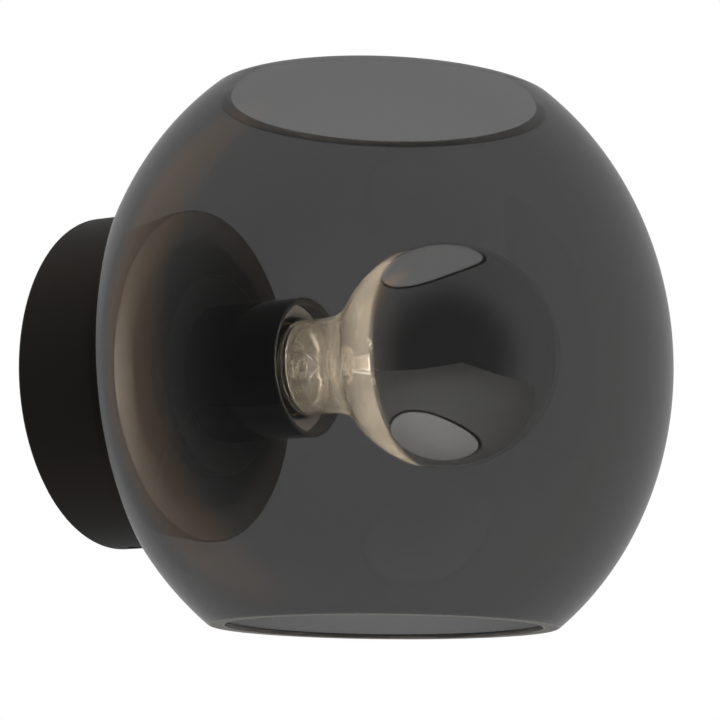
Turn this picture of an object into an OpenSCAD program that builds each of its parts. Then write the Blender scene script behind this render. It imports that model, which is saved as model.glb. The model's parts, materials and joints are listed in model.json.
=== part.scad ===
// Globe wall sconce: a drum canopy on the wall carries a flattened smoked glass globe, open at the top and the
// bottom, and a lampholder with a crown mirror lamp inside it.
// The origin is on the wall, on the lamp's axis. +Z is up and the lamp points along -Y.

/* [Shade] */
// Radius of the glass at its equator, seen from the front
shade_r = 95; // [80:1:110]
// Half of the depth of the glass, from its middle to its nose
shade_half_depth = 80; // [72:1:90]
// Half of the height between the two ground openings
shade_half_height = 76.5; // [66:0.5:78]
// Thickness of the glass
shade_wall = 2.8; // [2:0.1:4]

/* [Canopy] */
// Outer radius of the drum
canopy_r = 50; // [49:0.5:54]
// Depth of the drum, from the wall to its front lip
canopy_depth = 25.2; // [24:0.2:32]
// Sheet thickness of the drum
canopy_wall = 1.5; // [1:0.1:2]
// Rounding of the rear edge
canopy_edge_r = 1.2; // [0.4:0.1:1.5]
// Width of the two silicone rings that hold the glass
gasket_w = 5.2; // [4:0.1:7]
// Thickness of the rear silicone ring at its thinnest
gasket_t = 1.6; // [1.2:0.1:2.5]

/* [Shade plate and collar] */
// Depth of the clamping plate, over its turned rim
plate_depth = 3.5; // [3:0.1:5]
// Sheet thickness of the clamping plate
plate_wall = 1.5; // [1:0.1:2]
// Outer radius of the collar at the foot of the lampholder
collar_r = 30; // [26:0.5:34]
// Height of the collar
collar_h = 5.5; // [5:0.1:8]

/* [Lampholder] */
// Outer radius of the sleeve
sleeve_r = 20.5; // [20:0.1:22]
// Wall of the sleeve
sleeve_wall = 1.6; // [1.4:0.1:3.4]
// Length of the sleeve that shows above the collar
sleeve_show = 30.6; // [29:0.2:34]
// Rounding of the mouth
mouth_edge_r = 0.5; // [0.2:0.1:0.7]

/* [Lamp] */
// Radius of the ball of the lamp
ball_r = 32.2; // [29:0.2:33]
// Radius of the glass neck
neck_r = 14; // [13.8:0.1:15]
// Radius of the hollow curve between the neck and the ball
neck_blend_r = 16; // [10:1:24]
// Length of the straight neck in front of the cap
neck_show = 7.5; // [4:0.5:12]
// How far the mirror coating reaches behind the middle of the ball
mirror_back = 8.3; // [0:0.1:10]

/* [Wall bracket] */
// Width of the bracket's bars
bracket_w = 24; // [20:1:28]
// Sheet thickness of the bracket
bracket_t = 2; // [1.5:0.1:2.5]
// Distance between the middles of the two wall slots
slot_pitch = 60; // [54:1:64]
// Width of a wall slot
slot_w = 4.8; // [4:0.1:5.4]
// Length of a wall slot, end to end
slot_len = 14; // [10:0.5:16]

/* [Hidden] */
$fn = 96;

// Clearances and the one overrun that all cuts share
lip_gap = 0.3;
slip_gap = 0.1;
fit_gap = 0.05;
overrun = 1;

// Glass and what clamps it
gasket_step = 1;
canopy_in_r = canopy_r - canopy_wall;
gasket_out_r = canopy_in_r - lip_gap;
gasket_in_r = gasket_out_r - gasket_w;
shade_hole_r = gasket_in_r - gasket_step;
plate_r = canopy_r;
plate_edge_r = 0.6;
shade_in_r = shade_r - shade_wall;
shade_in_half_depth = shade_half_depth - shade_wall;
// Half depth of an ellipsoid with equator radius a and half depth c, at the distance r from its axis
function half_depth_at(r, a, c) = c * sqrt(1 - (r / a) * (r / a));
shade_mid = canopy_depth + lip_gap + half_depth_at(canopy_r, shade_r, shade_half_depth);
// How far from the wall the outside and the inside of the glass are, at the distance r from the axis
function glass_back_at(r) = shade_mid - half_depth_at(r, shade_r, shade_half_depth);
function glass_face_at(r) = shade_mid - half_depth_at(r, shade_in_r, shade_in_half_depth);
plate_rim = glass_face_at(plate_r) + lip_gap;
plate_front = plate_rim + plate_depth;
plate_back = plate_front - plate_wall;
web_front = glass_back_at(gasket_in_r) - fit_gap - gasket_t;
web_back = web_front - canopy_wall;
ring_wall = 4;
ring_out_r = shade_hole_r - lip_gap;
ring_rib_n = 8;
ring_rib_w = 2;
ring_rib_h = 3;
ring_floor = 2;

// Hollow nipple and its nut
nipple_r = 4.95;
nipple_bore_r = 3.75;
nipple_hole_r = nipple_r + fit_gap;
nipple_tail = 4;
washer_r = 9;
washer_t = 1;
nut_flats = 14;
nut_h = 3;
nut_chamfer = 0.8;
nipple_back = web_back - washer_t - nut_h - nipple_tail / 4;

// Collar and sleeve
collar_floor = 3;
collar_edge_r = 0.8;
collar_front = plate_front + collar_h;
sleeve_seat = plate_front + collar_floor;
sleeve_floor = 1.5;
sleeve_front = collar_front + sleeve_show;
sleeve_in_r = sleeve_r - sleeve_wall;
sleeve_hole_r = 3.9;
sleeve_screw_at = 13;
sleeve_screw_angle = 45;
pillar_at = 8.5;
pillar_r = 2.4;
screw_r = 1.45;
screw_head_r = 2.7;
cavity_h = 3;

// Insert, shell and contacts
insert_back = sleeve_seat + sleeve_floor + cavity_h;
insert_floor = 2;
insert_front_gap = 4.6;
insert_front = sleeve_front - insert_front_gap;
insert_r = sleeve_in_r - 2 * slip_gap;
shell_wall = 0.5;
shell_bore_r = 13.2;
shell_r = shell_bore_r + shell_wall;
shell_flange_r = 9;
shell_step = 1.1;
shell_short = 2;
insert_bore_r = shell_r + 2 * lip_gap;
ledge_in_r = shell_r - shell_step;
shell_back = insert_back + insert_floor + shell_step;
shell_front = insert_front - shell_short;
rivet_r = 1;
rivet_head_r = 1.6;
rivet_head_h = 0.6;
rivet_at = 11.4;
boss_r = 2.3;
rivet_angles = [0, 135];
contact_t = 0.4;
contact_w = 5;
contact_rivet_at = 6.5;
contact_foot = 2.1;
contact_nose = 2.5;
contact_rise = 0.4;
contact_seat = insert_back + insert_floor;
terminal_t = 2;
terminal_w = 6;
terminal_out = 17;
terminal_screw_at = 15.2;
terminal_screw_head_r = 1.7;
terminal_screw_head_h = 0.9;
terminal_screw_r = 1.2;
neutral_terminal_in = 8;
live_terminal_in = 4.6;

// Lamp, measured from its tip
lamp_back = contact_seat + contact_t + contact_rise + fit_gap;
lamp_wall = 1;
cap_len = 25.5;
cap_front = lamp_back + cap_len;
neck_front = cap_front + neck_show;
neck_blend_at = neck_r + neck_blend_r;
ball_mid = neck_front + sqrt(pow(ball_r + neck_blend_r, 2) - pow(neck_blend_at, 2));
cap_r = shell_bore_r - slip_gap;
cap_wall = 0.4;
cap_rim_r = neck_r - slip_gap;
cap_rim_h = 1.8;
cap_rim_slope = 1;
tip_r = 4.7;
tip_face_r = 3.2;
tip_face_h = 0.8;
tip_h = 1.5;
insulator_top_r = 5.4;
insulator_r = 11.9;
insulator_slope = 3.4;
insulator_h = 5;
spigot_len = 12;
spigot_r = cap_r - cap_wall - fit_gap;
mirror_t = 0.2;
mirror_r = ball_r - lamp_wall - slip_gap;
stem_foot_t = 1;
stem_top = 9.5;
stem_r = 4.2;
stem_waist_r = 5.5;
stem_wall = 0.8;
button_r = 6;
button_t = 3;
arbor_r = 2;
arbor_len = 7.5;
knob_r = 2.6;
filament_ring_r = 7;
filament_r = 0.5;
filament_gap_angle = 60;
filament_back = 21;
wire_r = 0.35;
wire_root = 2;
support_r = 0.25;
support_n = 3;

// Bracket and what sits on it
lug_w = 14;
lug_h = 13;
lug_bend_r = 3;
lug_y = sqrt(pow(canopy_in_r - lip_gap, 2) - pow(lug_w / 2, 2));
set_screw_r = 1.95;
set_screw_at = 8;
set_screw_sink = 0.4;
set_screw_len = 6;
set_screw_hex_r = 1.1;
set_screw_hex_depth = 2.2;
arm_end = 40;
bush_at = 25;
bush_r = 6;
bush_bore_r = 4.5;
bush_flange_r = 8;
bush_flange_t = 2.5;
earth_at = 17;
earth_screw_r = 1.95;
earth_head_r = 3.6;
earth_head_h = 2;
tag_t = 0.8;
tag_r = 4;
tag_barrel_len = 5;
tag_barrel_r = 1.6;

// Terminal block
block_at = 26;
pole_pitch = 10;
pole_w = 8.4;
block_w = 17;
block_base = 5;
block_h = 14;
block_edge_r = 1.5;
pole_bore_r = 2.2;
pole_bore_h = 7;
insert_tube_wall = 0.65;
insert_tube_short = 1;
clamp_at = 4.5;
clamp_r = 1.25;
clamp_head_r = 1.8;
clamp_head_h = 1.2;
clamp_well_r = 1.95;
clamp_tip = 0.4;
block_screw_r = 1.45;
block_screw_head_r = 2.6;
block_screw_head_h = 1.6;
pole_y = [pole_pitch, 0, -pole_pitch];

// Insulated leads
lead_r = 1;
lead_sides = 8;
lead_side_step = 1.6;
lead_in_block = 2.5;
lead_pull = 12;
lead_drop = 6;
lead_steps = 10;

// Places a child so that its own +Z points out from the wall, its +Y up, and its zero is d from the wall
module out(d = 0) {
    translate([0, -d, 0]) rotate([90, 0, 0]) children();
}

// Solid of revolution about the lamp's axis; the children draw it as distance from the axis, distance from the wall
module turned() {
    out() rotate_extrude() children();
}

module band(r0, r1, z0, z1) {
    translate([r0, z0]) square([r1 - r0, z1 - z0]);
}

// Sharp outer corner at (r, z) rounded to radius e; up is 1 at a front edge and -1 at a rear edge
module corner_cut(r, z, e, up) {
    difference() {
        translate([r - e, up > 0 ? z - e : z - overrun]) square([e + overrun, e + overrun]);
        translate([r - e, z - up * e]) circle(e, $fn = 48);
    }
}

// Inner corner of a mouth at (r, z), rounded to radius e
module mouth_cut(r, z, e) {
    difference() {
        translate([r - overrun, z - e]) square([e + overrun, e + overrun]);
        translate([r + e, z - e]) circle(e, $fn = 48);
    }
}

// Hole of radius r along the lamp's axis at (x, y), from z0 to z1
module drill(x, y, z0, z1, r) {
    translate([x, y, z0]) cylinder(h = z1 - z0, r = r, $fn = 48);
}

// Round-ended slot along the local y axis
module slot_hole(x, y, z0, z1, w, len) {
    for (s = [-1, 1]) drill(x, y + s * (len - w) / 2, z0, z1, w / 2);
    translate([x - w / 2, y - (len - w) / 2, z0]) cube([w, len - w, z1 - z0]);
}

// Countersunk screw along the axis, with its head's face at z1 and its point at z0
module flat_screw(x, y, z0, z1, r, head_r) {
    translate([x, y, 0]) difference() {
        union() {
            translate([0, 0, z0]) cylinder(h = z1 - z0, r = r, $fn = 32);
            translate([0, 0, z1 - (head_r - r)]) cylinder(h = head_r - r, r1 = r, r2 = head_r, $fn = 32);
        }
        drive_slot(head_r, z1, r / 3);
    }
}

// Screwdriver slot across a head of radius r whose face is at z
module drive_slot(r, z, depth) {
    translate([-r - overrun, -depth / 2, z - depth]) cube([2 * (r + overrun), depth, depth + overrun]);
}

module ellipsoid(a, c) {
    translate([0, -shade_mid, 0]) scale([1, c / a, 1]) sphere(r = a, $fn = 96);
}

// Tube swept along points, by rings square to the route
function unit(v) = v / norm(v);
function tangent(p, i) = unit(p[min(i + 1, len(p) - 1)] - p[max(i - 1, 0)]);
function ring_at(p, i, r, n) =
    let (t = tangent(p, i), u = unit(cross([0, 1, 0], t)), v = cross(t, u))
    [for (k = [0 : n - 1]) p[i] + r * (cos(360 * k / n) * u + sin(360 * k / n) * v)];
function curve(a, b, c, d, n) =
    [for (i = [0 : n]) let (t = i / n, s = 1 - t) s * s * s * a + 3 * s * s * t * b + 3 * s * t * t * c + t * t * t * d];

module swept(p, r, n) {
    last = len(p) - 1;
    polyhedron(
        points = [for (i = [0 : last]) each ring_at(p, i, r, n)],
        faces = concat(
            [[for (k = [0 : n - 1]) k]],
            [for (i = [0 : last - 1]) for (k = [0 : n - 1])
                [i * n + k, (i + 1) * n + k, (i + 1) * n + (k + 1) % n]],
            [for (i = [0 : last - 1]) for (k = [0 : n - 1])
                [i * n + k, (i + 1) * n + (k + 1) % n, i * n + (k + 1) % n]],
            [[for (k = [0 : n - 1]) last * n + n - 1 - k]]),
        convexity = 8);
}

// Bent steel strap with two lugs for the canopy's set screws, and a cross arm for the wiring
module wall_bracket() {
    color("silver") out() difference() {
        union() {
            intersection() {
                translate([-bracket_w / 2, 0, 0]) rotate([90, 0, 90])
                    linear_extrude(bracket_w) bracket_profile();
                union() {
                    cylinder(h = bracket_t + lug_bend_r, r = canopy_in_r - lip_gap);
                    translate([-lug_w / 2, -canopy_r, 0]) cube([lug_w, 2 * canopy_r, lug_h]);
                }
            }
            translate([-arm_end, -bracket_w / 2, 0]) cube([2 * arm_end, bracket_w, bracket_t]);
        }
        for (s = [-1, 1]) {
            slot_hole(0, s * slot_pitch / 2, -overrun, bracket_t + overrun, slot_w, slot_len);
            translate([0, s * (lug_y + overrun), set_screw_at]) rotate([s * 90, 0, 0])
                cylinder(h = 2 * bracket_t + overrun, r = set_screw_r + fit_gap, $fn = 32);
        }
        drill(-bush_at, 0, -overrun, bracket_t + overrun, bush_r);
        drill(0, earth_at, -overrun, bracket_t + overrun, earth_screw_r + fit_gap);
        drill(block_at, pole_pitch / 2, -overrun, bracket_t + overrun, block_screw_r + fit_gap);
    }
}

// Section of the strap: a flat base with both ends bent up
module bracket_profile() {
    difference() {
        union() {
            translate([-lug_y, lug_bend_r]) square([2 * lug_y, lug_h - lug_bend_r]);
            translate([-lug_y + lug_bend_r, 0]) square([2 * (lug_y - lug_bend_r), lug_bend_r]);
            for (s = [-1, 1]) translate([s * (lug_y - lug_bend_r), lug_bend_r]) circle(lug_bend_r, $fn = 48);
        }
        translate([-lug_y + bracket_t, lug_bend_r]) square([2 * (lug_y - bracket_t), lug_h]);
        translate([-lug_y + lug_bend_r, bracket_t]) square([2 * (lug_y - lug_bend_r), lug_h]);
        for (s = [-1, 1]) translate([s * (lug_y - lug_bend_r), lug_bend_r])
            circle(lug_bend_r - bracket_t, $fn = 48);
    }
}

// Rubber bush for the supply cable
module cable_bush() {
    color([0.08, 0.08, 0.08]) out() translate([-bush_at, 0, 0]) rotate_extrude() difference() {
        union() {
            band(bush_bore_r, bush_r - fit_gap, 0, bracket_t + bush_flange_t);
            band(bush_bore_r, bush_flange_r, bracket_t, bracket_t + bush_flange_t);
        }
        corner_cut(bush_flange_r, bracket_t + bush_flange_t, bush_flange_t / 3, 1);
        mouth_cut(bush_bore_r, bracket_t + bush_flange_t, bush_flange_t / 3);
    }
}

// Three-pole terminal block
module terminal_block() {
    color("ivory") out() translate([block_at, 0, bracket_t]) difference() {
        union() {
            translate([-block_w / 2, -pole_pitch - pole_w / 2, 0])
                cube([block_w, 2 * pole_pitch + pole_w, block_base]);
            for (y = pole_y) translate([0, y, 0]) pole_tower();
        }
        for (y = pole_y) {
            translate([-block_w / 2 - overrun, y, pole_bore_h]) rotate([0, 90, 0])
                cylinder(h = block_w + 2 * overrun, r = pole_bore_r, $fn = 32);
            for (s = [-1, 1]) drill(s * clamp_at, y, pole_bore_h, block_h + overrun, clamp_well_r);
        }
        drill(0, pole_pitch / 2, -overrun, block_base + overrun, block_screw_r + fit_gap);
        drill(0, pole_pitch / 2, block_base - block_screw_head_h, block_h + overrun, block_screw_head_r + fit_gap);
    }
}

module pole_tower() {
    inset = block_w / 2 - block_edge_r;
    translate([0, pole_w / 2, 0]) rotate([90, 0, 0]) linear_extrude(pole_w) union() {
        translate([-block_w / 2, 0]) square([block_w, block_h - block_edge_r]);
        translate([-inset, 0]) square([2 * inset, block_h]);
        for (s = [-1, 1]) translate([s * inset, block_h - block_edge_r]) circle(block_edge_r, $fn = 32);
    }
}

// Brass tubes inside the poles
module terminal_inserts() {
    tube_r = pole_bore_r - fit_gap;
    tube_len = block_w - 2 * insert_tube_short;
    color("goldenrod") out() for (y = pole_y) translate([block_at, y, bracket_t + pole_bore_h]) difference() {
        translate([-tube_len / 2, 0, 0]) rotate([0, 90, 0]) difference() {
            cylinder(h = tube_len, r = tube_r, $fn = 32);
            translate([0, 0, -overrun]) cylinder(h = tube_len + 2 * overrun, r = tube_r - insert_tube_wall, $fn = 32);
        }
        for (s = [-1, 1]) drill(s * clamp_at, 0, 0, tube_r + overrun, clamp_r + fit_gap);
    }
}

module terminal_screws() {
    head = bracket_t + pole_bore_h + pole_bore_r + clamp_head_h / 2;
    color("silver") out() for (y = pole_y) for (s = [-1, 1])
        translate([block_at + s * clamp_at, y, 0]) difference() {
            union() {
                drill(0, 0, bracket_t + pole_bore_h + clamp_tip, head + fit_gap, clamp_r);
                drill(0, 0, head, head + clamp_head_h, clamp_head_r);
            }
            drive_slot(clamp_head_r, head + clamp_head_h, clamp_head_h / 2);
        }
}

module terminal_fixing_screw() {
    face = bracket_t + block_base;
    color("silver") out() translate([block_at, pole_pitch / 2, 0]) difference() {
        union() {
            drill(0, 0, 0, face, block_screw_r);
            drill(0, 0, face - block_screw_head_h, face, block_screw_head_r);
        }
        drive_slot(block_screw_head_r, face, block_screw_head_h / 2);
    }
}

module earth_screw() {
    seat = bracket_t + tag_t;
    color("limegreen") out() translate([0, earth_at, 0]) difference() {
        union() {
            drill(0, 0, 0, seat + fit_gap, earth_screw_r);
            drill(0, 0, seat, seat + earth_head_h, earth_head_r);
        }
        drive_slot(earth_head_r, seat + earth_head_h, earth_head_h / 2);
    }
}

// Ring tag crimped on the earth lead
module earth_tag() {
    color("silver") out() translate([0, earth_at, bracket_t]) difference() {
        union() {
            cylinder(h = tag_t, r = tag_r, $fn = 48);
            translate([0, -tag_barrel_r, 0]) cube([tag_r + tag_barrel_len / 2, 2 * tag_barrel_r, tag_t]);
            translate([tag_r + fit_gap, 0, tag_barrel_r]) rotate([0, 90, 0])
                cylinder(h = tag_barrel_len, r = tag_barrel_r, $fn = 32);
        }
        translate([0, 0, -overrun]) cylinder(h = tag_t + 2 * overrun, r = earth_screw_r + fit_gap, $fn = 48);
        translate([tag_r + tag_barrel_len / 2, 0, tag_barrel_r]) rotate([0, 90, 0])
            cylinder(h = tag_barrel_len, r = lead_r + fit_gap, $fn = 32);
    }
}

// Place inside the pole at y where a lead starts
function pole_start(y) = [block_at - block_w / 2 + lead_in_block, y, bracket_t + pole_bore_h];

// Lead from the earth pole into the barrel of the tag
module earth_lead() {
    a = pole_start(pole_pitch);
    mouth = [tag_r + tag_barrel_len + lip_gap, earth_at, bracket_t + tag_barrel_r];
    end = mouth - [tag_barrel_len / 2 - lip_gap, 0, 0];
    route = curve(a, a - [lead_pull / 2, 0, 0], mouth + [lead_pull / 2, 0, 0], mouth, lead_steps);
    color("yellowgreen") out() swept(concat(route, [end]), lead_r, lead_sides);
}

// A lead from its pole, through the nipple, to a holder terminal at x = end_x
module holder_lead(y, side, end_x) {
    a = pole_start(y);
    b = [0, side * lead_side_step, nipple_back];
    c = [0, side * lead_side_step, sleeve_seat];
    e = [end_x - sign(end_x) * lip_gap, 0, insert_back - terminal_t + lead_r - cavity_h / 8];
    bend = e[2] - c[2];
    out() swept(concat(
        curve(a, a - [lead_pull, 0, 0], b - [0, 0, lead_drop], b, lead_steps),
        curve(c, c + [0, 0, bend], [sign(end_x) * min(lead_side_step, abs(end_x) / 2), side * lead_r / 2, e[2]], e,
            lead_steps)),
        lead_r, lead_sides);
}

module live_lead() {
    color("saddlebrown") holder_lead(pole_y[1], 1, -live_terminal_in);
}

module neutral_lead() {
    color("royalblue") holder_lead(pole_y[2], -1, neutral_terminal_in);
}

// Drum that hides the bracket, with a recessed web that carries the shade
module canopy_shell() {
    color([0.13, 0.12, 0.115]) difference() {
        turned() difference() {
            union() {
                polygon([[canopy_in_r, 0], [canopy_r, 0], [canopy_r, canopy_depth],
                    [canopy_in_r, glass_back_at(canopy_in_r) - lip_gap]]);
                band(nipple_hole_r, canopy_in_r + fit_gap, web_back, web_front);
            }
            corner_cut(canopy_r, 0, canopy_edge_r, -1);
        }
        out() for (s = [-1, 1]) translate([0, s * (canopy_r + overrun), set_screw_at]) rotate([s * 90, 0, 0])
            cylinder(h = canopy_wall + 2 * overrun, r = set_screw_r + slip_gap, $fn = 32);
    }
}

module canopy_set_screws() {
    color([0.15, 0.15, 0.15]) out() for (s = [-1, 1])
        translate([0, s * (canopy_r - set_screw_sink), set_screw_at]) rotate([s * 90, 0, 0]) difference() {
            cylinder(h = set_screw_len, r = set_screw_r, $fn = 32);
            translate([0, 0, -overrun]) cylinder(h = set_screw_hex_depth + overrun, r = set_screw_hex_r, $fn = 6);
        }
}

// Threaded hollow tube that holds the shade and the lampholder on the canopy, and takes the leads
module nipple_tube() {
    color("goldenrod") turned() band(nipple_bore_r, nipple_r, nipple_back, sleeve_seat);
}

module nipple_nut() {
    corner_r = nut_flats / sqrt(3);
    back = web_back - washer_t - nut_h;
    color("silver") out(back) difference() {
        intersection() {
            cylinder(h = nut_h, r = corner_r, $fn = 6);
            cylinder(h = nut_h, r1 = corner_r - nut_chamfer, r2 = corner_r + nut_h, $fn = 48);
        }
        translate([0, 0, -overrun]) cylinder(h = nut_h + 2 * overrun, r = nipple_hole_r);
    }
}

module nipple_washer() {
    color("silver") turned() band(nipple_hole_r, washer_r, web_back - washer_t, web_back);
}

// Nylon ring that centres the glass and keeps the web and the plate apart
module centring_ring() {
    color([0.2, 0.2, 0.2]) union() {
        turned() {
            band(ring_out_r - ring_wall, ring_out_r, web_front, plate_back);
            band(nipple_hole_r, nipple_hole_r + ring_wall, web_front, plate_back);
            band(nipple_hole_r, ring_out_r, web_front, web_front + ring_floor);
        }
        out(web_front) for (i = [0 : ring_rib_n - 1]) rotate([0, 0, i * 360 / ring_rib_n])
            translate([nipple_hole_r + ring_wall / 2, -ring_rib_w / 2, 0])
                cube([ring_out_r - nipple_hole_r - ring_wall, ring_rib_w, ring_floor + ring_rib_h]);
    }
}

// Wedge-section silicone ring between the canopy's web and the glass
module rear_gasket() {
    color([0.85, 0.85, 0.82]) turned() polygon([[gasket_in_r, web_front], [gasket_out_r, web_front],
        [gasket_out_r, glass_back_at(gasket_out_r) - fit_gap], [gasket_in_r, glass_back_at(gasket_in_r) - fit_gap]]);
}

// Blown glass, cut and ground flat at the top and the bottom, with a round hole at the back
module glass_shade() {
    color([0.25, 0.25, 0.26, 0.55]) difference() {
        ellipsoid(shade_r, shade_half_depth);
        ellipsoid(shade_in_r, shade_in_half_depth);
        for (z = [-shade_half_height - shade_r, shade_half_height])
            translate([-shade_r - overrun, -shade_mid - shade_r, z])
                cube([2 * (shade_r + overrun), 2 * shade_r, shade_r]);
        out() cylinder(h = shade_mid, r = shade_hole_r);
    }
}

module front_gasket() {
    color([0.85, 0.85, 0.82]) turned() polygon([[gasket_in_r, plate_back], [gasket_out_r, plate_back],
        [gasket_out_r, glass_face_at(gasket_out_r) + fit_gap], [gasket_in_r, glass_face_at(gasket_in_r) + fit_gap]]);
}

// Dished plate that clamps the glass from inside
module shade_plate() {
    color([0.14, 0.14, 0.14]) turned() difference() {
        union() {
            band(nipple_hole_r, plate_r, plate_back, plate_front);
            band(plate_r - plate_wall, plate_r, plate_rim, plate_front);
        }
        corner_cut(plate_r, plate_front, plate_edge_r, 1);
    }
}

// Collar that is screwed on the nipple, with a seat for the sleeve
module base_collar() {
    color([0.16, 0.155, 0.15]) difference() {
        turned() difference() {
            band(nipple_hole_r, collar_r, plate_front, collar_front);
            band(0, sleeve_r + fit_gap, sleeve_seat, collar_front + overrun);
            corner_cut(collar_r, collar_front, collar_edge_r, 1);
        }
        out() for (a = [0, 180]) rotate([0, 0, sleeve_screw_angle + a])
            drill(sleeve_screw_at, 0, plate_front - overrun, sleeve_seat + overrun, screw_r + fit_gap);
    }
}

// Plain cup with a rounded mouth, the outside of the lampholder
module holder_sleeve() {
    floor_top = sleeve_seat + sleeve_floor;
    color([0.1, 0.1, 0.1]) difference() {
        union() {
            turned() difference() {
                band(0, sleeve_r, sleeve_seat, sleeve_front);
                band(0, sleeve_in_r, floor_top, sleeve_front + overrun);
                corner_cut(sleeve_r, sleeve_front, mouth_edge_r, 1);
                mouth_cut(sleeve_in_r, sleeve_front, mouth_edge_r);
            }
            out() for (s = [-1, 1]) drill(0, s * pillar_at, floor_top - sleeve_floor / 2, insert_back, pillar_r);
        }
        out() {
            drill(0, 0, sleeve_seat - overrun, floor_top + overrun, sleeve_hole_r);
            for (s = [-1, 1]) drill(0, s * pillar_at, floor_top - sleeve_floor / 2, insert_back + overrun,
                screw_r + fit_gap);
            for (a = [0, 180]) rotate([0, 0, sleeve_screw_angle + a]) {
                drill(sleeve_screw_at, 0, sleeve_seat - overrun, floor_top, screw_r + fit_gap);
                translate([sleeve_screw_at, 0, floor_top - (screw_head_r - screw_r)])
                    cylinder(h = screw_head_r - screw_r, r1 = screw_r + fit_gap, r2 = screw_head_r + fit_gap, $fn = 48);
            }
        }
    }
}

module sleeve_screws() {
    color("silver") out() for (a = [0, 180]) rotate([0, 0, sleeve_screw_angle + a])
        flat_screw(sleeve_screw_at, 0, plate_front + fit_gap, sleeve_seat + sleeve_floor, screw_r, screw_head_r);
}

// Insulating body that holds the screw shell and the centre contact
module holder_insert() {
    color("gainsboro") difference() {
        union() {
            turned() {
                band(0, insert_r, insert_back, contact_seat);
                band(insert_bore_r, insert_r, contact_seat - fit_gap, insert_front);
                band(ledge_in_r, insert_r, contact_seat - fit_gap, shell_back);
            }
            out() for (a = rivet_angles) rotate([0, 0, a])
                drill(rivet_at, 0, contact_seat - fit_gap, shell_back, boss_r);
        }
        out() {
            for (a = rivet_angles) rotate([0, 0, a])
                drill(rivet_at, 0, insert_back - overrun, shell_back + overrun, rivet_r + fit_gap);
            drill(-contact_rivet_at, 0, insert_back - overrun, contact_seat + overrun, rivet_r + fit_gap);
            for (s = [-1, 1]) {
                drill(0, s * pillar_at, insert_back - overrun, contact_seat, screw_r + fit_gap);
                translate([0, s * pillar_at, contact_seat - (screw_head_r - screw_r)])
                    cylinder(h = screw_head_r - screw_r, r1 = screw_r + fit_gap, r2 = screw_head_r + fit_gap, $fn = 48);
            }
        }
    }
}

module insert_screws() {
    color("silver") out() for (s = [-1, 1])
        flat_screw(0, s * pillar_at, insert_back - cavity_h + fit_gap, contact_seat, screw_r, screw_head_r);
}

// Brass shell that the lamp screws into
module screw_shell() {
    color("goldenrod") difference() {
        turned() {
            band(shell_bore_r, shell_r, shell_back, shell_front);
            band(shell_flange_r, shell_r, shell_back, shell_back + shell_wall);
        }
        out() for (a = rivet_angles) rotate([0, 0, a])
            drill(rivet_at, 0, shell_back - overrun, shell_back + shell_wall + overrun, rivet_r + fit_gap);
    }
}

module shell_rivets() {
    color("silver") out() {
        rivet_through(rivet_angles[0], insert_back - terminal_t);
        rivet_through(rivet_angles[1], insert_back);
    }
}

module rivet_through(angle, back) {
    rotate([0, 0, angle]) translate([rivet_at, 0, 0]) rivet_body(back, shell_back + shell_wall);
}

module rivet_body(z0, z1) {
    rotate_extrude($fn = 32) {
        band(0, rivet_r, z0 - rivet_head_h, z1 + rivet_head_h);
        band(0, rivet_head_r, z0 - rivet_head_h, z0);
        band(0, rivet_head_r, z1, z1 + rivet_head_h);
    }
}

// Spring strip that meets the lamp's tip
module centre_contact() {
    foot_out = contact_rivet_at + contact_foot;
    foot_in = contact_rivet_at - contact_foot;
    rise_at = foot_in / 2;
    nose = contact_nose;
    low = contact_seat;
    high = contact_seat + contact_rise;
    color("darkgoldenrod") difference() {
        out() translate([0, contact_w / 2, 0]) rotate([90, 0, 0]) linear_extrude(contact_w)
            polygon([[-foot_out, low], [-foot_in, low], [-rise_at, high], [nose, high], [nose, high + contact_t],
                [-rise_at, high + contact_t], [-foot_in, low + contact_t], [-foot_out, low + contact_t]]);
        out() drill(-contact_rivet_at, 0, low - overrun, high + overrun, rivet_r + fit_gap);
    }
}

module contact_rivet() {
    color("silver") out() translate([-contact_rivet_at, 0, 0])
        rivet_body(insert_back - terminal_t, contact_seat + contact_t);
}

// Brass plates under the insert's floor that take the leads
module holder_terminals() {
    color("goldenrod") out() {
        terminal_plate(live_terminal_in, 180, contact_rivet_at);
        terminal_plate(neutral_terminal_in, 0, rivet_at);
    }
}

module terminal_plate(from, angle, rivet_x) {
    rotate([0, 0, angle]) difference() {
        translate([from, -terminal_w / 2, insert_back - terminal_t])
            cube([terminal_out - from, terminal_w, terminal_t]);
        drill(rivet_x, 0, insert_back - terminal_t - overrun, insert_back + overrun, rivet_r + fit_gap);
        drill(terminal_screw_at, 0, insert_back - terminal_t - overrun, insert_back + overrun,
            terminal_screw_r + fit_gap);
    }
}

module holder_terminal_screws() {
    face = insert_back - terminal_t;
    color("silver") out() for (a = [0, 180]) rotate([0, 0, a]) translate([terminal_screw_at, 0, 0]) difference() {
        rotate_extrude($fn = 32) {
            band(0, terminal_screw_r, face - terminal_screw_head_h, insert_back);
            band(0, terminal_screw_head_r, face - terminal_screw_head_h, face);
        }
        translate([-terminal_screw_head_r, -terminal_screw_head_h / 4, face - terminal_screw_head_h - overrun])
            cube([2 * terminal_screw_head_r, terminal_screw_head_h / 2, overrun + terminal_screw_head_h / 2]);
    }
}

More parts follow.
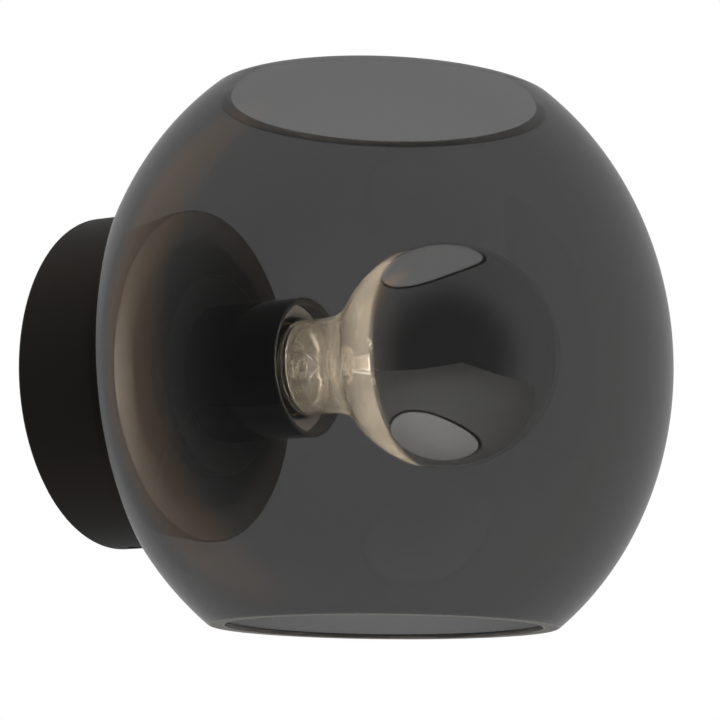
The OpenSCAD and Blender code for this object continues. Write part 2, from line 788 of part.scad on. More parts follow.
// Half section of the lamp's glass with its surface inset by w; the spigot goes into the cap
module lamp_section(w) {
    touch_share = ball_r / (ball_r + neck_blend_r);
    touch = [neck_blend_at * touch_share, ball_mid + (neck_front - ball_mid) * touch_share];
    intersection() {
        band(0, ball_r + overrun, ball_mid - ball_r - overrun, ball_mid + ball_r + overrun);
        translate([0, ball_mid]) circle(ball_r - w, $fn = 160);
    }
    band(0, spigot_r - w, cap_front - spigot_len, cap_front + w);
    band(0, neck_r - w, cap_front + w, neck_front);
    difference() {
        polygon([[0, neck_front - overrun], [neck_r - w, neck_front - overrun], [neck_r - w, neck_front],
            [neck_blend_at, neck_front], touch, [0, ball_mid]]);
        translate([neck_blend_at, neck_front]) circle(neck_blend_r + w, $fn = 160);
    }
}

// Clear envelope
module bulb_glass() {
    color([0.9, 0.92, 0.95, 0.35]) turned() difference() {
        union() {
            lamp_section(0);
            band(0, neck_r, cap_front, cap_front + lamp_wall);
        }
        lamp_section(lamp_wall);
    }
}

// Mirror coating inside the front half of the ball
module bulb_mirror() {
    color([0.6, 0.6, 0.62]) turned() intersection() {
        difference() {
            translate([0, ball_mid]) circle(mirror_r, $fn = 160);
            translate([0, ball_mid]) circle(mirror_r - mirror_t, $fn = 160);
        }
        band(0, ball_r, ball_mid - mirror_back, ball_mid + ball_r);
    }
}

// Screw cap, thin-walled, with a flared rim under the glass
module bulb_cap() {
    low = lamp_back + tip_h + insulator_slope;
    slope_end = cap_front - cap_rim_h;
    slope_start = slope_end - cap_rim_slope;
    in_r = cap_r - cap_wall;
    curl = cap_r - insulator_r;
    color("silver") turned() polygon([[insulator_r, low], [cap_r, low + curl], [cap_r, slope_start],
        [cap_rim_r, slope_end], [cap_rim_r, cap_front], [cap_rim_r - cap_wall, cap_front],
        [cap_rim_r - cap_wall, slope_end], [in_r, slope_start], [in_r, low + curl],
        [insulator_r, low + curl]]);
}

module bulb_cap_insulator() {
    z0 = lamp_back + tip_h;
    color([0.05, 0.05, 0.06]) turned() polygon([[0, z0], [insulator_top_r, z0], [insulator_r, z0 + insulator_slope],
        [insulator_r, z0 + insulator_h], [0, z0 + insulator_h]]);
}

module bulb_tip_contact() {
    color("silver") turned() polygon([[0, lamp_back], [tip_face_r, lamp_back], [tip_r, lamp_back + tip_face_h],
        [tip_r, lamp_back + tip_h], [0, lamp_back + tip_h]]);
}

// Glass stem: a flared foot fused in the neck, a button and a thin rod
module bulb_stem() {
    foot = cap_front - spigot_len;
    in_r = spigot_r - lamp_wall - fit_gap;
    shoulder = cap_front;
    top = cap_front + stem_top;
    color([0.85, 0.9, 0.95, 0.5]) turned() {
        polygon([[in_r, foot], [in_r, foot + stem_foot_t], [stem_waist_r, (foot + shoulder) / 2], [stem_r, shoulder],
            [stem_r, top], [0, top], [0, top - stem_r], [stem_r - stem_wall, shoulder],
            [stem_waist_r - stem_wall, (foot + shoulder) / 2], [in_r - stem_foot_t, foot]]);
        band(0, button_r - button_t / 2, top, top + button_t);
        intersection() {
            translate([button_r - button_t / 2, top + button_t / 2]) circle(button_t / 2, $fn = 48);
            band(0, button_r, top, top + button_t);
        }
        band(0, arbor_r, top + button_t, top + button_t + arbor_len);
        intersection() {
            translate([0, top + button_t + arbor_len]) circle(knob_r, $fn = 48);
            band(0, knob_r, top, top + button_t + arbor_len + knob_r);
        }
    }
}

// Thin round rod between two points
module rod(a, b, r) {
    v = b - a;
    translate(a) rotate([0, acos(v[2] / norm(v)), atan2(v[1], v[0])]) cylinder(h = norm(v), r = r, $fn = 16);
}

stem_end = cap_front + stem_top + button_t;
filament_z = ball_mid - filament_back;

function on_ring(a) = [filament_ring_r * cos(a), filament_ring_r * sin(a), filament_z];

module bulb_lead_wires() {
    half = filament_gap_angle / 2;
    color("silver") out() for (s = [-1, 1])
        rod([wire_root, s * wire_root, stem_end + wire_r], on_ring(s * half) - [0, 0, filament_r + fit_gap], wire_r);
}

module bulb_filament() {
    color("orange") out(filament_z) rotate([0, 0, filament_gap_angle / 2])
        rotate_extrude(angle = 360 - filament_gap_angle) translate([filament_ring_r, 0]) circle(filament_r, $fn = 24);
}

module bulb_filament_supports() {
    knob = stem_end + arbor_len + knob_r / 2;
    spread = 360 - filament_gap_angle;
    color("silver") out() for (i = [1 : support_n])
        let (a = filament_gap_angle / 2 + spread * i / (support_n + 1))
        rod([knob_r * cos(a), knob_r * sin(a), knob], on_ring(a) - [0, 0, filament_r + fit_gap], support_r);
}

wall_bracket();
cable_bush();
terminal_block();
terminal_inserts();
terminal_screws();
terminal_fixing_screw();
earth_screw();
earth_tag();
earth_lead();
canopy_shell();
canopy_set_screws();
nipple_tube();
nipple_nut();
nipple_washer();
centring_ring();
rear_gasket();
glass_shade();
front_gasket();
shade_plate();
base_collar();
holder_sleeve();
sleeve_screws();
holder_insert();
insert_screws();
screw_shell();
shell_rivets();
centre_contact();
contact_rivet();
holder_terminals();
holder_terminal_screws();
live_lead();
neutral_lead();
bulb_glass();
bulb_mirror();
bulb_cap();
bulb_cap_insulator();
bulb_tip_contact();
bulb_stem();
bulb_lead_wires();
bulb_filament();
bulb_filament_supports();
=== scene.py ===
# %% [markdown]
# # Globe wall sconce
# A black drum on the wall carries a flattened globe of smoked glass, open at the top and the bottom, and a
# lampholder with a crown mirror lamp inside it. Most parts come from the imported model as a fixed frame. This
# lesson dresses that frame: first the camera and the light, then the finishes, then the glass, the threads
# and the filament.

# %% Load the frame
import json
import math

import bpy
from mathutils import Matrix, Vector


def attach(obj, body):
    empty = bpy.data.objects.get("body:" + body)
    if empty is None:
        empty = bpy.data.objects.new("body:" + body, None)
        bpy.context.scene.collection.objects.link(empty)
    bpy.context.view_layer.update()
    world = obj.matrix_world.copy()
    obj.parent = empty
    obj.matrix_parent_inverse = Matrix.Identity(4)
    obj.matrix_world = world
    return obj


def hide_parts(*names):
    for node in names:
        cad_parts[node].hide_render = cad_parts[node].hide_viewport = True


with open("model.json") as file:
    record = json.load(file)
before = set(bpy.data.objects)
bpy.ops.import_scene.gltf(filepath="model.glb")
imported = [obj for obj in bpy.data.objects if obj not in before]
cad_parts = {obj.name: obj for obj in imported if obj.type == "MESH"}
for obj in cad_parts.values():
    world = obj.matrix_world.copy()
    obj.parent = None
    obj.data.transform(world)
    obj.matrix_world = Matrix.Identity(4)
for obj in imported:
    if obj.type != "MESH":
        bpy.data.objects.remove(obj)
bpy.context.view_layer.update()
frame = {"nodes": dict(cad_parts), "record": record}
NODES = frame["nodes"]
MM = 0.001

# %% [markdown]
# The camera comes first. It stands to the left of the lamp, a little below it, and looks slightly up, so
# that both ground openings show. Its place was fitted on the outline and rims of the glass, the drum and the
# lampholder.

# %% Camera
CAMERA_AT = Vector((-778.7, -524.0, -136.1)) * MM
CAMERA_WAY = Vector((0.8612, 0.4852, 0.1515)).normalized()
LENS_MM = 156.52
SENSOR_MM = 36.0

camera = bpy.data.objects.new("camera", bpy.data.cameras.new("camera"))
camera.data.sensor_width = SENSOR_MM
camera.data.lens = LENS_MM
camera.location = CAMERA_AT
camera.rotation_euler = CAMERA_WAY.to_track_quat("-Z", "Y").to_euler()
bpy.context.scene.collection.objects.link(camera)
bpy.context.scene.camera = camera
bpy.context.scene.view_settings.view_transform = "Standard"
print("camera", round(CAMERA_AT.length, 3), "m from the wall plate")

# %% [markdown]
# Colours are written as the hex values that a colour picker shows, and one function turns them to the linear
# values that the renderer works in. One more function adds a node, sets its values and joins its links,
# which keeps every finish below readable as a short recipe.


# %% Colour and node helpers
def linear(hex_colour):
    parts = [int(hex_colour[i : i + 2], 16) / 255 for i in (1, 3, 5)]
    return [v / 12.92 if v <= 0.04045 else ((v + 0.055) / 1.055) ** 2.4 for v in parts] + [1.0]


def add(tree, kind, settings=(), values=(), links=()):
    node = tree.nodes.new(kind)
    for name, value in dict(settings).items():
        setattr(node, name, value)
    for name, value in dict(values).items():
        node.inputs[name].default_value = value
    for name, source in dict(links).items():
        tree.links.new(source, node.inputs[name])
    return node


def finish(name, **values):
    """A new material with one Principled shader, its tree and that shader."""
    material = bpy.data.materials.new(name)
    material.use_nodes = True
    tree = material.node_tree
    shader = tree.nodes["Principled BSDF"]
    for key, value in values.items():
        shader.inputs[key.replace("_", " ")].default_value = value
    return material, tree, shader


def object_place(tree):
    return add(tree, "ShaderNodeTexCoord").outputs["Object"]


def per_metre(millimetres):
    """Noise scale whose grains are about that many millimetres wide."""
    return 1.0 / (millimetres * MM)


# %% [markdown]
# Smoked glass and a mirror show the room more than themselves, so the room is painted with care. To the eye
# the backdrop is plain white. In the glass and the mirror it is a grey room, dark on the camera's side and
# lighter beyond the object. This could be a real box of walls with lamps, but a direction that fades from
# one grey to the next is simpler.

# %% Grey room
ROOM_SIDE = linear("#b4b4b4")
ROOM_GREY = linear("#696969")
FADE_BEHIND, FADE_AHEAD = -0.75, 0.1
world = bpy.data.worlds.new("studio")
bpy.context.scene.world = world
world.use_nodes = True
tree = world.node_tree
tree.nodes.clear()
way = add(tree, "ShaderNodeTexCoord").outputs["Generated"]
facing = add(
    tree, "ShaderNodeVectorMath", {"operation": "DOT_PRODUCT"}, {1: CAMERA_WAY}, {0: way}
).outputs["Value"]
ramp = add(
    tree,
    "ShaderNodeMapRange",
    {"interpolation_type": "SMOOTHSTEP"},
    {"From Min": FADE_BEHIND, "From Max": FADE_AHEAD},
    {"Value": facing},
).outputs["Result"]
room = add(
    tree, "ShaderNodeMix", {"data_type": "RGBA"}, {"A": ROOM_GREY, "B": ROOM_SIDE}, {"Factor": ramp}
).outputs["Result"]
print("room fades from", [round(v, 3) for v in ROOM_GREY[:3]], "to", [round(v, 3) for v in ROOM_SIDE[:3]])

# %% [markdown]
# A warm, bright band stands for the wall that the sconce hangs on, and the left side of the globe mirrors it
# as a brown veil. The veil reaches from the top of the globe to the bottom, so the band is upright: the
# direction is flattened towards the level before it is compared with the band's middle.

# %% Warm band of the wall
ROOM_WALL = linear("#e6cdb9")
UPRIGHT_SHARE = 0.2
WALL_WAY = (-0.105, 0.994, 0)
WALL_EDGE, WALL_CORE = 0.883, 0.994
flat_way = add(
    tree, "ShaderNodeVectorMath", {"operation": "MULTIPLY"}, {1: (1, 1, UPRIGHT_SHARE)}, {0: way}
).outputs[0]
level_way = add(tree, "ShaderNodeVectorMath", {"operation": "NORMALIZE"}, (), {0: flat_way}).outputs[0]
wallward = add(
    tree, "ShaderNodeVectorMath", {"operation": "DOT_PRODUCT"}, {1: WALL_WAY}, {0: level_way}
).outputs["Value"]
wall_ramp = add(
    tree,
    "ShaderNodeMapRange",
    {"interpolation_type": "SMOOTHSTEP"},
    {"From Min": WALL_EDGE, "From Max": WALL_CORE},
    {"Value": wallward},
).outputs["Result"]
room = add(
    tree, "ShaderNodeMix", {"data_type": "RGBA"}, {"B": ROOM_WALL}, {"Factor": wall_ramp, "A": room}
).outputs["Result"]
print("wall band", round(2 * math.degrees(math.acos(WALL_EDGE))), "degrees wide")

# %% [markdown]
# The eye gets the white backdrop and every other ray gets the room. Light Path tells the two apart.

# %% White backdrop
BACKDROP_WHITE = linear("#ffffff")
ROOM_STRENGTH = 0.8
seen = add(tree, "ShaderNodeLightPath").outputs["Is Camera Ray"]
room_light = add(tree, "ShaderNodeBackground", (), {"Strength": ROOM_STRENGTH}, {"Color": room})
backdrop = add(tree, "ShaderNodeBackground", (), {"Color": BACKDROP_WHITE, "Strength": 1.0})
mixed = add(
    tree, "ShaderNodeMixShader", (), (), {0: seen, 1: room_light.outputs[0], 2: backdrop.outputs[0]}
)
add(tree, "ShaderNodeOutputWorld", (), (), {"Surface": mixed.outputs[0]})
print(len(tree.nodes), "nodes in the world")

# %% [markdown]
# Two soft lamps light the drum from the front and from the side. They are large, so their shadows are soft.
# They hide from reflections and from the glass, where they would show as squares. Their light doesn't cross
# the smoked glass, so the pieces inside get theirs from the room, from the filament and through the
# openings.

# %% Softboxes
LAMP_AIM = Vector((0, -0.08, 0))
SOFTBOXES = {
    "softbox_high": {"place": (-0.5, -0.9, 0.9), "watts": 9.0, "size": 0.9},
    "softbox_side": {"place": (-1.1, 0.1, 0.3), "watts": 4.0, "size": 0.7},
}
for name, box in SOFTBOXES.items():
    lamp = bpy.data.lights.new(name, "AREA")
    lamp.energy = box["watts"]
    lamp.size = box["size"]
    lamp_object = bpy.data.objects.new(name, lamp)
    lamp_object.location = box["place"]
    lamp_object.rotation_euler = (LAMP_AIM - Vector(box["place"])).to_track_quat("-Z", "Y").to_euler()
    lamp_object.visible_glossy = False
    lamp_object.visible_transmission = False
    bpy.context.scene.collection.objects.link(lamp_object)
    print(name, box["watts"], "W")

# %% [markdown]
# The sconce hangs on a wall, so the floor lies well below it, as a plain pale plane. It stays out of plain
# reflections. Rays that have crossed the globe's glass still find it, so the mirror shows one of its corners
# as a paler lower part.

# %% Floor
FLOOR_SIZE = 4.0
FLOOR_LEVEL = -0.75
bpy.ops.mesh.primitive_plane_add(size=FLOOR_SIZE, location=(0, 0, FLOOR_LEVEL))
floor = bpy.context.object
floor.name = "floor"
paint, tree, shader = finish("studio_floor_paint", Base_Color=linear("#f2f2f0"), Roughness=0.8)
floor.data.materials.append(paint)
floor.visible_glossy = False
print("floor", FLOOR_SIZE, "m wide at", FLOOR_LEVEL, "m")

# %% [markdown]
# Most finishes differ in colour, in the width of their grain and in how rough they are. One noise gives both
# the fine relief and the spread of roughness, so that the two follow each other. Sizes are in millimetres.
# Grain too fine to show is drawn coarser than it is.


# %% Grain
def grain(tree, shader, size_mm, depth_mm, rough):
    """Fine relief of grains that wide, and the same grains in the roughness."""
    place = object_place(tree)
    noise = add(
        tree, "ShaderNodeTexNoise", (), {"Scale": per_metre(size_mm), "Detail": 3.0}, {"Vector": place}
    ).outputs["Fac"]
    bump = add(tree, "ShaderNodeBump", (), {"Distance": depth_mm * MM, "Strength": 1.0}, {"Height": noise})
    tree.links.new(bump.outputs[0], shader.inputs["Normal"])
    spread = add(
        tree, "ShaderNodeMapRange", (), {"To Min": rough[0], "To Max": rough[1]}, {"Value": noise}
    ).outputs["Result"]
    tree.links.new(spread, shader.inputs["Roughness"])


made = {}


def grained(slot, name, colour, size_mm, depth_mm, rough, **values):
    """A finish of one colour with that grain, kept under the name of its slot."""
    material, tree, shader = finish(name, Base_Color=linear(colour), **values)
    grain(tree, shader, size_mm, depth_mm, rough)
    made[slot] = material


# %% [markdown]
# The metals. The drum, the inner disc and the collar are powder coated. The bracket and nearly all screws
# are zinc plated, and the drum's set screws are blacked. What carries current is mostly brass, nickel or
# solder.

# %% Metals
# Powder melted on in an oven: a warm black whose fine orange peel spreads the highlights.
grained("satin_black", "satin_black_powder_coat", "#1a1816", 0.7, 0.01, (0.42, 0.5), Specular_IOR_Level=0.2)
# Bright zinc on pressed steel: pale and slightly cloudy.
grained("zinc_steel", "zinc_plated_steel", "#c8cacc", 1.5, 0.01, (0.28, 0.42), Metallic=1.0)
# Steel blacked in a hot bath: a dark grey with a dull metal shine.
grained("black_steel", "black_oxide_steel", "#2b2b2c", 0.8, 0.01, (0.35, 0.5), Metallic=1.0)
# Drawn brass: golden, with a soft grain.
grained("brass", "drawn_brass", "#d9b566", 1.2, 0.01, (0.18, 0.3), Metallic=1.0)
# Nickel on the brass of the lamp's cap: brighter than zinc and a little warm.
grained("nickel_cap", "nickel_plated_brass", "#cfcbc2", 1.0, 0.01, (0.12, 0.25), Metallic=1.0)
# Solder that has run and set: grey and uneven.
grained("solder_tip", "dull_solder", "#9c9c9c", 0.8, 0.05, (0.3, 0.5), Metallic=1.0)
# Thin drawn wire: light grey and even.
grained("lead_wire", "nickel_lead_wire", "#b9b9b9", 0.3, 0.01, (0.25, 0.35), Metallic=1.0)
print(len(made), "metals")

# %% [markdown]
# The plastics, rubbers and the black glass of the cap. Most of them are black, so their roughness tells them
# apart: polished, moulded, dull or rubbery.

# %% Plastics, rubbers and cap glass
# Polished moulding: the lampholder's sleeve, nearly a black mirror.
grained("gloss_black", "gloss_black_plastic", "#050505", 6.0, 0.01, (0.06, 0.09), Specular_IOR_Level=0.3)
# Pressed phenolic resin: the holder's insert, black with a half shine from the mould.
grained("black_phenolic", "black_phenolic", "#141313", 1.0, 0.02, (0.25, 0.4))
# Moulded nylon: the centring ring, soft and dull.
grained("black_nylon", "black_nylon", "#1b1b1b", 0.6, 0.02, (0.5, 0.65))
# Undyed nylon: the ivory terminal block.
grained("ivory_nylon", "ivory_nylon", "#e6e0d0", 0.6, 0.02, (0.45, 0.6))
# Moulded rubber: the cable bush, black with almost no shine.
grained("black_rubber", "black_rubber", "#171717", 0.4, 0.02, (0.7, 0.85))
# Silicone sheet: the two gaskets, milky, with a wet look.
grained("clear_silicone", "clear_silicone", "#d8d8d2", 0.5, 0.01, (0.35, 0.5), IOR=1.41)
# Glass cast into the cap: blue black, with small waves.
grained("black_vitrite", "black_cap_glass", "#0c0c10", 2.0, 0.02, (0.08, 0.2))
print(len(made), "finishes so far")

# %% [markdown]
# The leads are sleeved in extruded PVC, smooth and faintly waxy, in brown, blue and green.

# %% Lead sleeving
grained("earth_pvc", "green_pvc_sleeving", "#4e7d2a", 0.5, 0.01, (0.3, 0.45))
grained("live_pvc", "brown_pvc_sleeving", "#5c3a22", 0.5, 0.01, (0.3, 0.45))
grained("neutral_pvc", "blue_pvc_sleeving", "#2c5fa8", 0.5, 0.01, (0.3, 0.45))
print(len(made), "finishes so far")

# %% [markdown]
# Smoked glass is dark all through. A tint on the surface would look the same from every side, but light that
# crosses the wall at a slant has a longer way and comes out darker. So the glass takes light by volume, and
# its density follows from the share of light that one straight crossing of the 2.8 mm wall lets through.

# %% Smoked glass
SMOKE_CLEAR_SHARE = 0.42
GLOBE_WALL = 2.8
GLASS_IOR = 1.5
smoke, tree, shader = finish(
    "smoked_glass", Base_Color=linear("#ffffff"), Transmission_Weight=1.0, Roughness=0.0, IOR=GLASS_IOR
)
body = add(
    tree,
    "ShaderNodeVolumeAbsorption",
    (),
    {"Color": (0, 0, 0, 1), "Density": -math.log(SMOKE_CLEAR_SHARE) / (GLOBE_WALL * MM)},
)
tree.links.new(body.outputs[0], tree.nodes["Material Output"].inputs["Volume"])
made["smoked_glass"] = smoke
# The cut rims are ground and not polished again: grey and dull beside the clear dark wall.
grained("ground_rim", "ground_glass_rim", "#85827d", 0.25, 0.01, (0.35, 0.55), IOR=GLASS_IOR)
print("the globe's wall lets", SMOKE_CLEAR_SHARE, "of the light through")

# %% [markdown]
# The lamp's envelope is clear soda glass. In the photograph a bright blur lies over it behind the crown's
# edge, as a camera lens makes it. This picture gets no blur added afterwards, so a thin warm white film on
# the glass stands in for it: it catches the filament's light and sheds it both ways. The film is thickest at
# the crown's edge and almost nothing at the neck, and the photograph shows none.

# %% Clear glass with a film for the glow
LAMP_BLOOM = linear("#fff2dc")
FILM_FROM, FILM_TO = 90.0, 105.0
FILM_AT_NECK, FILM_AT_CROWN = 0.0025, 0.016
clear, tree, shader = finish(
    "clear_soda_glass", Base_Color=linear("#ffffff"), Transmission_Weight=1.0, Roughness=0.0, IOR=GLASS_IOR
)
shed_back = add(tree, "ShaderNodeBsdfDiffuse", (), {"Color": LAMP_BLOOM}).outputs[0]
shed_on = add(tree, "ShaderNodeBsdfTranslucent", (), {"Color": LAMP_BLOOM}).outputs[0]
bloom = add(tree, "ShaderNodeMixShader", (), {0: 0.5}, {1: shed_back, 2: shed_on}).outputs[0]
along = add(tree, "ShaderNodeSeparateXYZ", (), (), {0: object_place(tree)}).outputs["Y"]
film = add(
    tree,
    "ShaderNodeMapRange",
    {"interpolation_type": "SMOOTHSTEP"},
    {
        "From Min": -FILM_TO * MM,
        "From Max": -FILM_FROM * MM,
        "To Min": FILM_AT_CROWN,
        "To Max": FILM_AT_NECK,
    },
    {"Value": along},
).outputs["Result"]
filmed = add(
    tree, "ShaderNodeMixShader", (), (), {0: film, 1: shader.outputs[0], 2: bloom}
).outputs[0]
print("the film fades over", FILM_TO - FILM_FROM, "mm")

# %% [markdown]
# In a path tracer, glass that bends light blocks the straight way from the filament to the pieces outside
# it. So the envelope is fully open to shadow rays alone, as thin clear glass nearly is.

# %% Light through the envelope
shadow = add(tree, "ShaderNodeLightPath").outputs["Is Shadow Ray"]
passing = add(tree, "ShaderNodeBsdfTransparent").outputs[0]
envelope = add(tree, "ShaderNodeMixShader", (), (), {0: shadow, 1: filmed, 2: passing}).outputs[0]
tree.links.new(envelope, tree.nodes["Material Output"].inputs["Surface"])
made["clear_glass"] = clear
print(len(tree.nodes), "nodes in the clear glass")

# %% [markdown]
# The crown is silver laid on the inside of the ball. From outside it is a clean mirror behind glass. Its
# inner face is the bare back of the coat and a little rougher, and how far a point lies from the ball's
# middle tells which face it is on.

# %% Silvered crown
BALL_MID = 113.54
MIRROR_R = 31.1
MIRROR_T = 0.2
MIRROR_ROUGH, MIRROR_BACK_ROUGH = 0.02, 0.15
silver, tree, shader = finish("silvered_crown", Base_Color=linear("#e6e6e6"), Metallic=1.0)
from_middle = add(
    tree,
    "ShaderNodeVectorMath",
    {"operation": "DISTANCE"},
    {1: (0, -BALL_MID * MM, 0)},
    {0: object_place(tree)},
).outputs["Value"]
inner = add(
    tree,
    "ShaderNodeMath",
    {"operation": "LESS_THAN"},
    {1: (MIRROR_R - MIRROR_T / 2) * MM},
    {0: from_middle},
).outputs[0]
inner_rough = add(
    tree, "ShaderNodeMapRange", (), {"To Min": MIRROR_ROUGH, "To Max": MIRROR_BACK_ROUGH}, {"Value": inner}
).outputs["Result"]
tree.links.new(inner_rough, shader.inputs["Roughness"])
made["mirror_coat"] = silver
print("mirror", 2 * MIRROR_R, "mm wide")

# %% [markdown]
# Tungsten that carries current is far brighter than all else in the picture and nearly white. The smoked
# globe takes more than half of that again, so the strength is high.

# %% Glowing tungsten
GLOW_STRENGTH = 9000.0
glow, tree, shader = finish(
    "glowing_tungsten",
    Base_Color=linear("#554c40"),
    Emission_Color=linear("#fff4e2"),
    Emission_Strength=GLOW_STRENGTH,
)
made["filament"] = glow
print("filament strength", GLOW_STRENGTH)

# %% [markdown]
# Each node of the frame names its slot in the record, so the finishes go on by that name.

# %% Finishes on the frame
slots = {}
for part in frame["record"]["subparts"]:
    slots[part["node"]] = part["material_slot"]
for name, node in NODES.items():
    node.data.materials.clear()
    node.data.materials.append(made[slots[name]])
print(len(made), "finishes on", len(NODES), "nodes")

# %% [markdown]
# New round pieces are turned: a Screw modifier takes a short profile of places round an axis, the modifier
# is applied, and the seam is merged, so that each piece is one closed skin.

# %% Piece helpers
MERGE = 0.000005


def hold(piece):
    bpy.ops.object.select_all(action="DESELECT")
    piece.select_set(True)
    bpy.context.view_layer.objects.active = piece


def settle(piece, smooth_degrees=35):
    """Applies the modifiers, merges the seam, turns the normals outward and smooths the piece."""
    hold(piece)
    for modifier in list(piece.modifiers):
        bpy.ops.object.modifier_apply(modifier=modifier.name)
    bpy.ops.object.transform_apply(location=True, rotation=True, scale=True)
    bpy.ops.object.mode_set(mode="EDIT")
    bpy.ops.mesh.select_all(action="SELECT")
    bpy.ops.mesh.remove_doubles(threshold=MERGE)
    bpy.ops.mesh.normals_make_consistent(inside=False)
    bpy.ops.object.mode_set(mode="OBJECT")
    bpy.ops.object.shade_smooth_by_angle(angle=math.radians(smooth_degrees))
    print(piece.name, len(piece.data.polygons), "faces")
    return piece


def turned(name, places, steps, axis="Y"):
    """A line of places in mm, turned about that axis. The last place is the first, for a closed ring."""
    mesh = bpy.data.meshes.new(name)
    mesh.from_pydata([Vector(p) * MM for p in places], [(i, i + 1) for i in range(len(places) - 1)], [])
    piece = bpy.data.objects.new(name, mesh)
    bpy.context.scene.collection.objects.link(piece)
    screw = piece.modifiers.new("turn", "SCREW")
    screw.axis = axis
    screw.steps = screw.render_steps = steps
    screw.use_merge_vertices = True
    return settle(piece)


def along_lamp(profile):
    """Places in mm for (radius, depth) pairs about the lamp's axis, which points out of the wall."""
    return [(r, -d, 0) for r, d in profile]


# %% [markdown]
# Holes are drilled: a cylinder goes in along the lamp's axis, a Boolean cuts its shape away, and the
# cylinder is removed. The last helper dresses a finished piece: it takes the finish of its slot, goes on the
# body that it moves with, and hides the node that it stands in for.


# %% Drill and dress
def drilled(piece, radius, depth, middle, sides, smooth_degrees=35):
    """Drills along the lamp's axis. The middle is a place in metres, and radius and depth are in mm."""
    bpy.ops.mesh.primitive_cylinder_add(
        vertices=sides,
        radius=radius * MM,
        depth=depth * MM,
        rotation=(math.pi / 2, 0, 0),
        location=middle,
    )
    drill = bpy.context.object
    piece.modifiers.new("hole", "BOOLEAN").object = drill
    settle(piece, smooth_degrees)
    bpy.data.objects.remove(drill)


def dress(piece, slot, body, node):
    piece.data.materials.clear()
    piece.data.materials.append(made[slot])
    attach(piece, body)
    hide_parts(node)


# %% [markdown]
# The globe is blown and cut glass: two skins 2.8 mm apart, cut level above and below, with the cut faces
# ground flat and their edges broken. One closed loop of points, out over the wall, across the rim and back
# inside, is turned about the upright axis, flattened to the globe's real depth, and then drilled at the back
# for its seat on the drum. Built this way the rims are clean rings.

# %% Section of the globe
GLOBE_R = 95.0
GLOBE_CUT = 76.5
RIM_BREAK = 0.35
RIM_NICK = RIM_BREAK / 5
SKIN_STOP = 0.8 * RIM_BREAK
SKIN_ROWS = 110


def skin(radius):
    top = math.asin((GLOBE_CUT - SKIN_STOP) / radius)
    turns = (top * (2 * i / SKIN_ROWS - 1) for i in range(SKIN_ROWS + 1))
    return [(radius * math.cos(a), radius * math.sin(a)) for a in turns]


def rim(side):
    outer = math.sqrt(GLOBE_R**2 - GLOBE_CUT**2)
    inner = math.sqrt((GLOBE_R - GLOBE_WALL) ** 2 - GLOBE_CUT**2)
    return [
        (outer - RIM_NICK, side * (GLOBE_CUT - RIM_NICK)),
        (outer - RIM_BREAK, side * GLOBE_CUT),
        (inner + RIM_BREAK, side * GLOBE_CUT),
        (inner + RIM_NICK, side * (GLOBE_CUT - RIM_NICK)),
    ]


section = skin(GLOBE_R) + rim(1) + skin(GLOBE_R - GLOBE_WALL)[::-1] + rim(-1)[::-1]
section = [(r, 0, z) for r, z in section]
print(len(section), "points in the section")

# %% [markdown]
# Both skins are flattened by the same 15 mm and not by the same factor, so that the wall keeps its 2.8 mm at
# the front and the back too. Faces that lie flat in the two cuts get the ground finish, found by their
# normal and height.

# %% Smoked globe
GLOBE_HALF_DEPTH = 80.0
GLOBE_MID = 93.52
GLOBE_HOLE_R = 42.0
GLOBE_SIDES = 192
GLOBE_SMOOTH = 30
FLAT_NORMAL = 0.999
globe = turned("smoked_globe", section + section[:1], GLOBE_SIDES, "Z")
for vertex in globe.data.vertices:
    inset = GLOBE_R - vertex.co.length / MM
    vertex.co.y = vertex.co.y * (GLOBE_HALF_DEPTH - inset) / (GLOBE_R - inset) - GLOBE_MID * MM
drilled(globe, GLOBE_HOLE_R, GLOBE_MID, (0, -GLOBE_MID * MM / 2, 0), GLOBE_SIDES, GLOBE_SMOOTH)
dress(globe, "smoked_glass", "fixture", "glass_shade")
globe.data.materials.append(made["ground_rim"])
ground_faces = 0
for face in globe.data.polygons:
    if abs(face.normal.z) > FLAT_NORMAL and abs(abs(face.center.z) - GLOBE_CUT * MM) < MERGE:
        face.material_index = 1
        ground_faces += 1
print(ground_faces, "ground faces")

# %% [markdown]
# Lampholder and cap share a rolled thread, 3.62 mm to the turn and right-handed. Each is a plain tube whose
# rings are pushed in along a helix, and the push fades at both ends, as on a rolled sheet.

# %% Rolled thread
PITCH = 3.62
FADE = 2.0
RING_STEP = 0.3
TUBE_SIDES = 96


def roll_thread(piece, start, end, depth, least_r):
    """Pushes a right-hand thread into the rings between two depths, on the skins outside least_r."""
    for vertex in piece.data.vertices:
        d = -vertex.co.y / MM
        radius = math.hypot(vertex.co.x, vertex.co.z)
        if start < d < end and radius > least_r * MM:
            turn = math.atan2(vertex.co.z, vertex.co.x) / math.tau
            push = 0.5 - 0.5 * math.cos(math.tau * (d / PITCH - turn))
            share = 1.0 - depth * MM * push * min(1.0, (d - start) / FADE, (end - d) / FADE) / radius
            vertex.co.x *= share
            vertex.co.z *= share


def stretch(radius, start, end):
    """Profile points on a plain tube, one every RING_STEP, so that the thread has rings to push."""
    count = int(abs(end - start) / RING_STEP)
    return [(radius, start + (end - start) * i / count) for i in range(count + 1)]


# %% [markdown]
# The cap is drawn from thin sheet: turned in at the foot, threaded along the body, and swelled to a plain
# rim where the envelope sits. Only its outer skin takes the thread, because the glass fills the inside.

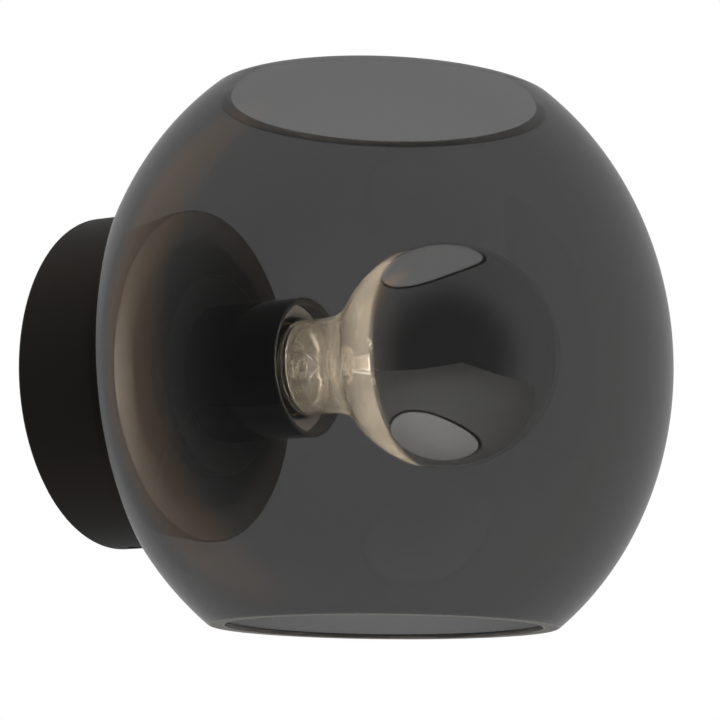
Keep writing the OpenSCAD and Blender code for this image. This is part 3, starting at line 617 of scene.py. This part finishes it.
# %% Threaded cap
CAP_R = 13.1
CAP_WALL = 0.4
CAP_BACK = 47.71
CAP_TURN_IN = 1.2
CAP_NECK = 65.51
CAP_NECK_RISE = 1
CAP_FRONT = 68.31
CAP_RIM_R = 13.9
CAP_THREAD = 0.33
cap_in = CAP_R - CAP_WALL
cap_foot = CAP_BACK + CAP_TURN_IN
cap_shoulder = CAP_NECK + CAP_NECK_RISE
cap_profile = (
    [(CAP_R - CAP_TURN_IN, cap_foot), (CAP_R - CAP_TURN_IN, CAP_BACK)]
    + stretch(CAP_R, cap_foot, CAP_NECK)
    + [(CAP_RIM_R, cap_shoulder), (CAP_RIM_R, CAP_FRONT), (CAP_RIM_R - CAP_WALL, CAP_FRONT)]
    + [(CAP_RIM_R - CAP_WALL, cap_shoulder), (cap_in, CAP_NECK), (cap_in, cap_foot)]
)
cap = turned("threaded_cap", along_lamp(cap_profile + cap_profile[:1]), TUBE_SIDES)
roll_thread(cap, cap_foot, CAP_NECK - CAP_NECK_RISE, CAP_THREAD, CAP_R - CAP_WALL / 2)
dress(cap, "nickel_cap", "lamp_cap", "bulb_cap")

# %% [markdown]
# The screw shell of the lampholder is a brass cup with an open floor. Both its skins take the thread, as on
# pressed sheet. Two holes in the floor let its rivets through.

# %% Threaded shell
SHELL_R = 13.7
SHELL_BORE_R = 13.2
SHELL_BACK = 43.06
SHELL_FRONT = 61.96
SHELL_FLANGE_R = 9.0
SHELL_THREAD = 0.28
SHELL_PLAIN = 1
RIVET_AT = 11.4
RIVET_HOLE_R = 1.05
RIVET_HOLE_SIDES = 32
RIVET_DRILL = 4
RIVET_DEGREES = (0, 135)
shell_floor = SHELL_BACK + SHELL_R - SHELL_BORE_R
shell_profile = (
    [(SHELL_FLANGE_R, SHELL_BACK)]
    + stretch(SHELL_R, SHELL_BACK, SHELL_FRONT)
    + stretch(SHELL_BORE_R, SHELL_FRONT, shell_floor)
    + [(SHELL_FLANGE_R, shell_floor)]
)
shell = turned("threaded_shell", along_lamp(shell_profile + shell_profile[:1]), TUBE_SIDES)
roll_thread(shell, shell_floor + SHELL_PLAIN, SHELL_FRONT, SHELL_THREAD, SHELL_FLANGE_R)
for degrees in RIVET_DEGREES:
    turn = math.radians(degrees)
    middle = Vector((RIVET_AT * math.cos(turn), -SHELL_BACK, RIVET_AT * math.sin(turn))) * MM
    drilled(shell, RIVET_HOLE_R, RIVET_DRILL, middle, RIVET_HOLE_SIDES)
dress(shell, "brass", "fixture", "screw_shell")

# %% [markdown]
# The filament is a coil of fine tungsten wire bent to an open ring. Its path is worked out point by point as
# a curve with a round bevel, which is the wire, and then made a mesh. Each turn of the coil has twelve
# points.

# %% Coiled filament
RING_R = 7.0
RING_AT = 92.54
RING_GAP = 60.0
COIL_R = 0.36
COIL_WIRE_R = 0.1
COIL_TURNS = 56
TURN_POINTS = 12
line = bpy.data.curves.new("coiled_filament", "CURVE")
line.dimensions = "3D"
line.bevel_depth = COIL_WIRE_R * MM
line.bevel_resolution = 1
line.use_fill_caps = True
spline = line.splines.new("POLY")
count = COIL_TURNS * TURN_POINTS
spline.points.add(count)
for i in range(count + 1):
    around = math.radians(RING_GAP / 2 + (360 - RING_GAP) * i / count)
    phase = math.tau * i / TURN_POINTS
    r = RING_R + COIL_R * math.cos(phase)
    depth = RING_AT + COIL_R * math.sin(phase)
    spline.points[i].co = (r * math.cos(around) * MM, -depth * MM, r * math.sin(around) * MM, 1)
coil = bpy.data.objects.new("coiled_filament", line)
bpy.context.scene.collection.objects.link(coil)
hold(coil)
bpy.ops.object.convert(target="MESH")
coil = settle(bpy.context.object)
dress(coil, "filament", "lamp_cap", "bulb_filament")
